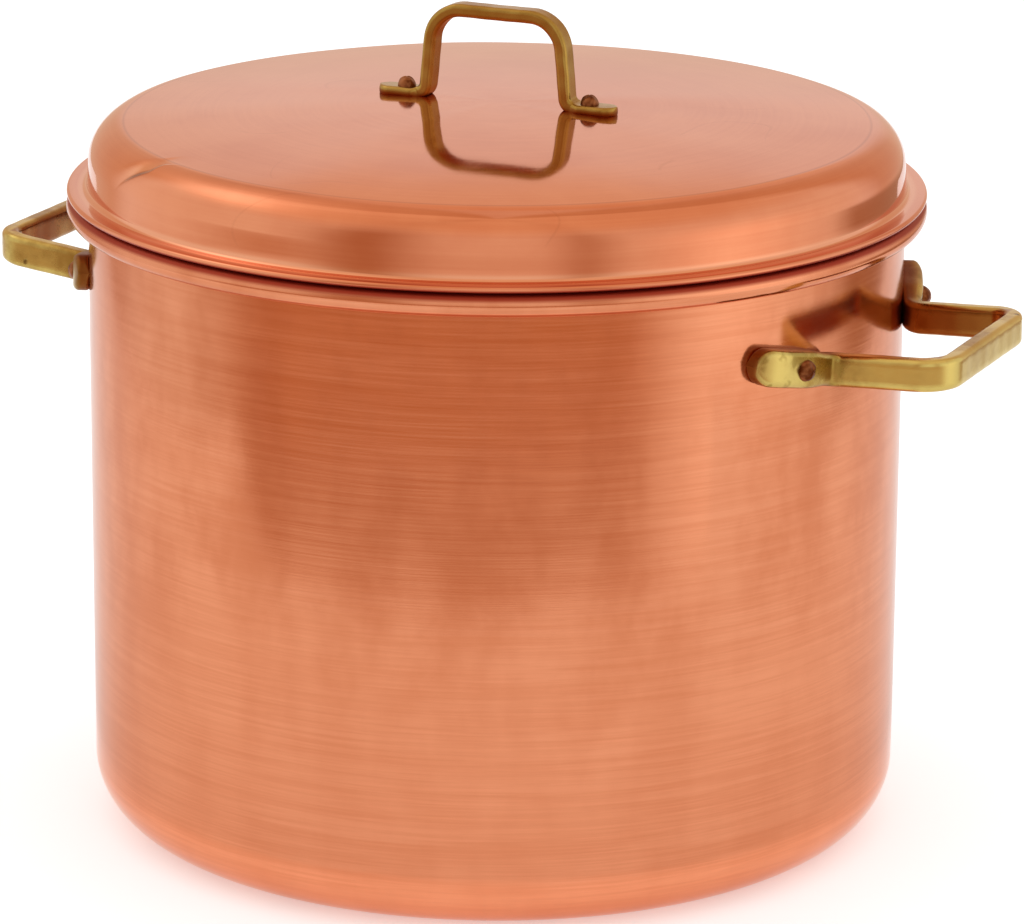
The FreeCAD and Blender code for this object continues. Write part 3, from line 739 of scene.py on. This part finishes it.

# %% [markdown]
# Now the patterns become a finish. Each mix lays one mark over the colours before it: the buffed tone, the
# painted highlight on the knock, the scratches together with the painted shade of the knock's fold and the
# painted reflection at the crown's edge, the painted highlight of the corner and the painted shade of the
# seam.
# One picture could hold them all, but then no mark could be made stronger or weaker by itself.

# %% Polished copper of the lid
BUFFED_DEEP, BUFFED_PALE = shade(214, 128, 90), shade(226, 145, 105)
# The pale knock and fold colours are painted highlights; the brown serves real scratches and painted shade.
KNOCK_HIGHLIGHT_PALE, SCRATCH_AND_SHADE_BROWN, FOLD_HIGHLIGHT_PALE = shade(245, 184, 142), shade(140, 66, 36), shade(238, 176, 138)
tone = (slow * 0.45 + clouds * 0.4 + rings * 0.15).between(0.35, 0.65)
# The knock's pale colour is a painted highlight on the dent.
colour = (knock * 0.45).mix(tone.mix(BUFFED_DEEP, BUFFED_PALE), KNOCK_HIGHLIGHT_PALE)
# One brown for the hair scratches and for painted shade and reflection at the knock's fold and the crown's
# edge.
colour = (hairs * 0.10 + crease_reflection * 0.30 + knock_fold_shade * 0.9).mix(colour, SCRATCH_AND_SHADE_BROWN)
colour = (fold_highlight * 0.4).mix(colour, FOLD_HIGHLIGHT_PALE)
colour = (seam_shade * 0.9).mix(colour, SEAM_SHADE_RED)
colour.to(shader, "Base Color")
handled = clouds.between(0.45, 0.75)
(0.05 + handled * 0.05 + rings * 0.03 + hairs * 0.05 + seam_shade * 0.3).to(shader, "Roughness")
fine = (rings * 0.5 + hairs * -0.2).bump(0.045, 0.0001)
(knock * -1).bump(1.0, KNOCK_DEPTH * MM, fine).to(shader, "Normal")
wear(polished, spun_lid)

# %% [markdown]
# The brass has gone olive with handling: khaki where hands rub the outside of the loops. The inner faces of
# the loops are painted red brown as shade, for the shaded copper wall that they mirror, and against the
# copper the brass is darker brown, partly grime and partly painted shade. Such places could be painted by
# hand. Here they go by distance, which stays true all round a bar. The loops reach out unequally, so the
# distance sideways is taken from a point midway between them.

# %% Places on the brass
brass, shader, place = new_finish("aged_brass", 1.0)
x, y, z, radius = cylinder(place)
loop_middle = (SIDES["right"][3] - SIDES["left"][3]) / 2
reach = (x - loop_middle * MM).math("ABSOLUTE")
on_side = 1 - z.past(185, 190)
rubbed = reach.past(151.2, 153.0) * on_side
# Painted shade: the inner faces of the loops, which mirror the shaded copper wall.
inside = (1 - reach.past(148.1, 149.5)) * (1 - y.math("ABSOLUTE").past(29.6, 31.0)) * on_side
mottle = place.noise(210.0, 2.0, 0.5).between(0.48, 0.62) * (1 - radius.past(127, 131)) * on_side
on_lid_foot = z.past(200, 210) * (1 - z.past(215.8, 217.6))
# Partly grime and partly painted shade: darker where the feet meet the wall and at the base of the lid's
# feet.
grime_and_shade = ((1 - radius.past(122.0, 126.2)) * on_side).math("MAXIMUM", on_lid_foot)
print("loops centred", round(loop_middle, 2), "mm right of the axis")

# %% [markdown]
# The brass itself: slow noise mixes the two tones of its patina, and mottled feet, dark casting pits, the
# painted shade inside the loops, and grime with painted shade against the copper are laid over them. A
# single brown would look like paint.

# %% Aged brass
KHAKI, OLIVE_BROWN, LID_OLIVE = shade(206, 180, 102), shade(152, 112, 50), shade(148, 100, 30)
MOTTLE_OLIVE, PIT_BROWN = shade(150, 124, 58), shade(80, 50, 20)
# The inner brown is painted shade; the grime brown is partly grime and partly painted shade.
INNER_SHADE_BROWN, GRIME_SHADE_BROWN = shade(138, 72, 18), shade(116, 50, 14)
slow = place.noise(45.0, 3.0, 0.5)
fine = place.noise(380.0, 4.0, 0.6)
pits = 1 - place.node("TexVoronoi", None, {"Vector": place, "Scale": 120.0}).between(0.04, 0.15)
pits = pits * place.noise(75.0, 1.0, 0.5).between(0.56, 0.63)
patina = (slow * 0.8 + fine * 0.2).between(0.40, 0.68) * (1 - rubbed * 0.65)
colour = patina.mix(KHAKI, OLIVE_BROWN)
colour = (z.past(205, 212) * 0.65).mix(colour, LID_OLIVE)
colour = (mottle * 0.7).mix(colour, MOTTLE_OLIVE)
colour = (pits * 0.8).mix(colour, PIT_BROWN)
# Painted shade on the inner faces of the loops.
colour = (inside * 0.75).mix(colour, INNER_SHADE_BROWN)
# Grime together with painted shade where the brass meets the copper.
colour = (grime_and_shade * 0.85).mix(colour, GRIME_SHADE_BROWN)
colour.to(shader, "Base Color")
(0.18 + patina * 0.10 + fine * 0.06 + grime_and_shade * 0.15).to(shader, "Roughness")
(fine * 0.5 + pits * -1.5).bump(0.18, 0.00015).to(shader, "Normal")
wear(brass, lid_grip, *handles.values())

# %% [markdown]
# The rivets are soft copper, dark and rough from the hammer. They are too small for a pattern of their own,
# so one noise gives colour and roughness, and a finer one the hammered skin.

# %% Rivet copper
RIVET_DARK, RIVET_WORN = shade(92, 42, 16), shade(156, 96, 58)
dark, shader, place = new_finish("dark_copper", 1.0)
slow = place.noise(220.0, 3.0, 0.6)
slow.between(0.35, 0.65).mix(RIVET_DARK, RIVET_WORN).to(shader, "Base Color")
(0.28 + slow * 0.2).to(shader, "Roughness")
place.noise(700.0, 3.0, 0.6).bump(0.3, 0.0002).to(shader, "Normal")
wear(dark, *rivets.values())

# %% [markdown]
# Tin is a dull silver, wiped on hot, so broad swirls of the cloth stay in it. The same drawn-out noise as on
# the copper gives the swirls, only wider, and round spots break them up.

# %% Wiped tin
TIN_GREY, TIN_BRIGHT = shade(202, 199, 192), shade(224, 222, 217)
tin, shader, place = new_finish("wiped_tin", 1.0)
wipes = lathe_noise(place, 3, 140, 4.0, 0.6)
spots = place.noise(55.0, 4.0, 0.65)
(wipes * 0.6 + spots * 0.4).between(0.35, 0.65).mix(TIN_GREY, TIN_BRIGHT).to(shader, "Base Color")
(0.26 + wipes * 0.16).to(shader, "Roughness")
wipes.bump(0.2, 0.0003).to(shader, "Normal")
wear(tin, pot_tinning, lid_tinning)

# %% [markdown]
# A white table, as in a catalogue picture. It is a disc cut short in front of the pot, with rounded corners,
# and at both sides, because the copper mirrors its edge: below that edge the wall is pale, above it darker.
# A plain square would put hard corners into the reflection. The sheet is a grid of angles and distances,
# each drawn in to the edge that lies on its way.

# %% Table
TABLE_REACH, TABLE_FRONT, TABLE_SIDE, TABLE_DROP = 4000.0, 455.0, 580.0, 0.05
TABLE_MIDDLE, TABLE_ANGLES, TABLE_RINGS = 0.01, 256, 40
# angle from the front at which each corner starts, and how fast the edge falls back past it
LEFT_CORNER, LEFT_FALL, RIGHT_CORNER, RIGHT_FALL = 0.85, 1200, 0.9, 20000
angle = np.linspace(0, 2 * math.pi, TABLE_ANGLES, endpoint=False)
reach = np.linspace(TABLE_MIDDLE, TABLE_REACH, TABLE_RINGS)[:, None]
table_grid = np.stack([reach * np.cos(angle), reach * np.sin(angle), -TABLE_DROP + 0 * reach * angle], -1)
turn = np.arctan2(table_grid @ across, table_grid @ towards)
edge = (TABLE_FRONT + LEFT_FALL * np.maximum(-turn - LEFT_CORNER, 0) ** 2
        + RIGHT_FALL * np.maximum(turn - RIGHT_CORNER, 0) ** 2)
table_grid[..., :2] *= np.minimum(1, edge / reach)[..., None]
sideways = table_grid @ across
table_grid -= (sideways - np.clip(sideways, -TABLE_SIDE, TABLE_SIDE))[..., None] * across
table = make_piece("table", table_grid[::-1])

# %% [markdown]
# The table is matt white paper. In a photograph the white is overexposed, and more light would bleach the
# pot as well. So the paper glows a little by itself, only where the camera or a reflection sees it, and the
# shadow round the base stays. Near the pot its mirror image glows more, as the foot of the wall shows.

# %% Matt white
PAPER_DULL, PAPER_CLEAN = (0.90, 0.90, 0.90, 1), (0.94, 0.94, 0.94, 1)
BLACK, WHITE = (0, 0, 0, 1), (1, 1, 1, 1)
GLOW, CAMERA_GLOW, NEAR_GLOW = 0.22, 0.15, 0.22
matt, shader, place = new_finish("matt_white", 0.0)
place.noise(6.0, 3.0, 0.5).mix(PAPER_DULL, PAPER_CLEAN).to(shader, "Base Color")
shader.inputs["Roughness"].default_value = 0.9
shader.inputs["Specular IOR Level"].default_value = 0.1
shader.inputs["Emission Strength"].default_value = 1.0
path = Wire(matt.node_tree)
on_camera = path.node("LightPath", output="Is Camera Ray")
mirrored = path.node("LightPath", output="Is Glossy Ray")
through = path.node("LightPath", output="Is Transmission Ray")
shown = on_camera.math("MAXIMUM", mirrored).math("MAXIMUM", through)
near = 1 - (place.axis("X") ** 2 + place.axis("Y") ** 2).between(0.0169, 0.0289)
glow = shown * GLOW + on_camera * CAMERA_GLOW + mirrored * near * NEAR_GLOW
glow.mix(BLACK, WHITE).to(shader, "Emission Color")
wear(matt, table)

# %% [markdown]
# Polished metal shows what stands round it, so the room decides how the copper looks. Panels and screens
# could be modelled, but a room painted by direction is smoother: white, with two dark screens on the
# camera's side, warm and darker behind and past the table's edge, and with two soft bright lobes for a
# window and a skylight. Only reflections see these colours. The camera sees plain white, and the soft light
# is white too.

# %% Places in the room
scene = bpy.context.scene
scene.view_settings.view_transform = "Standard"
world = bpy.data.worlds.new("room")
world.use_nodes = True
scene.world = world
sky = world.node_tree.nodes["Background"]
ray = Wire(world.node_tree)
glossy = ray.node("LightPath", output="Is Glossy Ray")
seen = ray.node("LightPath", output="Is Camera Ray")
seen = seen.math("MAXIMUM", ray.node("LightPath", output="Is Transmission Ray"))
direction = ray.node("TexCoord", output="Generated")
bearing = direction.dot(across).math("ARCTAN2", direction.dot(towards))
rise = direction.axis("Z")
below = 1 - rise.between(-0.20, -0.08)
over_edge = rise.between(-0.302, -0.285)
past_table = bearing.between(-1.75, -1.1) * (1 - bearing.between(0.6, 1.15)) * over_edge
right_back = bearing.between(1.75, 2.1) * (1 - bearing.between(2.9, 3.1))
screens = bearing.hump(-0.64, 0.27).math("MAXIMUM", bearing.hump(0.44, 0.15) * 0.7)
screens = screens * rise.between(-0.25, -0.12) * (1 - rise.between(0.40, 0.85) * 0.8)
flank = bearing.math("ABSOLUTE").between(2.1, 2.4)
behind = bearing.between(2.75, 3.0) + (bearing * -1).between(2.92, 3.1)
behind_high = behind * rise.between(0.33, 0.40) * (1 - rise.between(0.75, 0.9))
window = bearing.hump(1.2, 0.4) * rise.hump(0.0, 0.4)
skylight = bearing.hump(-2.05, 0.55) * rise.hump(0.74, 0.15)
print("room painted by bearing and rise")

# %% [markdown]
# The room's colours are laid over one another in the same way as the marks on the lid. They are warm,
# because a grey room would make the copper look dull.

# %% Colours of the room
CEILING, FLANK, SCREEN = (0.97, 0.82, 0.67, 1), (0.80, 0.60, 0.44, 1), (0.60, 0.40, 0.28, 1)
BEHIND_LOW, BEHIND_MIDDLE = (0.82, 0.66, 0.54, 1), (0.92, 0.81, 0.75, 1)
BEHIND_HIGH = (0.92, 0.68, 0.48, 1)
BACK_FLOOR, FRONT_FLOOR = (0.50, 0.33, 0.21, 1), (0.62, 0.335, 0.168, 1)
SOFT_LIGHT, ROOM_WHITE, WINDOW_GLOW, SKYLIGHT_GLOW = 0.9, 1.0, 0.4, 0.65
colour = rise.between(0.45, 0.9).mix(WHITE, CEILING)
colour = flank.mix(colour, FLANK)
colour = behind.mix(colour, rise.between(0.02, 0.2).mix(BEHIND_LOW, BEHIND_MIDDLE))
colour = behind_high.mix(colour, BEHIND_HIGH)
colour = (below * right_back).mix(colour, BACK_FLOOR)
colour = (below * past_table).mix(colour, FRONT_FLOOR)
colour = screens.mix(colour, SCREEN)
colour = (window + skylight).mix(colour, WHITE)
glossy.mix(WHITE, colour).to(sky, "Color")
lobes = window * WINDOW_GLOW + skylight * SKYLIGHT_GLOW
(SOFT_LIGHT + (seen + glossy) * (ROOM_WHITE - SOFT_LIGHT) + glossy * lobes).to(sky, "Strength")
print("room level", ROOM_WHITE, "for the camera,", SOFT_LIGHT, "for soft light")

# %% [markdown]
# Two large square lamps, one at each side, add to the soft light on the table and to the shadow. They are
# hidden from reflections, because square patches in the lid would give them away.

# %% Lamps
LAMP_DISTANCE, LAMP_SIZE, LAMP_AIM = 2600, 2000, 150
# lamp: bearing and rise in degrees, radiance
LAMPS = {"left_lamp": (-100, 48, 0.22), "right_lamp": (95, 42, 0.18)}


def pointing(bearing, rise):
    """Unit vector at a bearing to the right of the camera's side and a rise above level, in degrees."""
    turn, tilt = math.radians(bearing), math.radians(rise)
    return math.cos(tilt) * (math.cos(turn) * towards + math.sin(turn) * across) + math.sin(tilt) * UP


def soft_lamp(name, place, radiance):
    """A square lamp aimed at the pot. Power is radiance times area times pi."""
    lamp = bpy.data.lights.new(name, "AREA")
    lamp.size = LAMP_SIZE * MM
    lamp.energy = radiance * math.pi * (LAMP_SIZE * MM) ** 2
    holder = bpy.data.objects.new(name, lamp)
    back = unit(place - LAMP_AIM * UP)
    side = unit(np.cross(UP, back))
    basis = np.column_stack([side, np.cross(back, side), back, place * MM])
    holder.matrix_world = Matrix(np.vstack([basis, [0, 0, 0, 1]]).tolist())
    holder.visible_glossy = False
    bpy.context.collection.objects.link(holder)
    print(name, round(lamp.energy, 2), "W")


for name, (lamp_bearing, lamp_rise, radiance) in LAMPS.items():
    soft_lamp(name, LAMP_DISTANCE * pointing(lamp_bearing, lamp_rise), radiance)
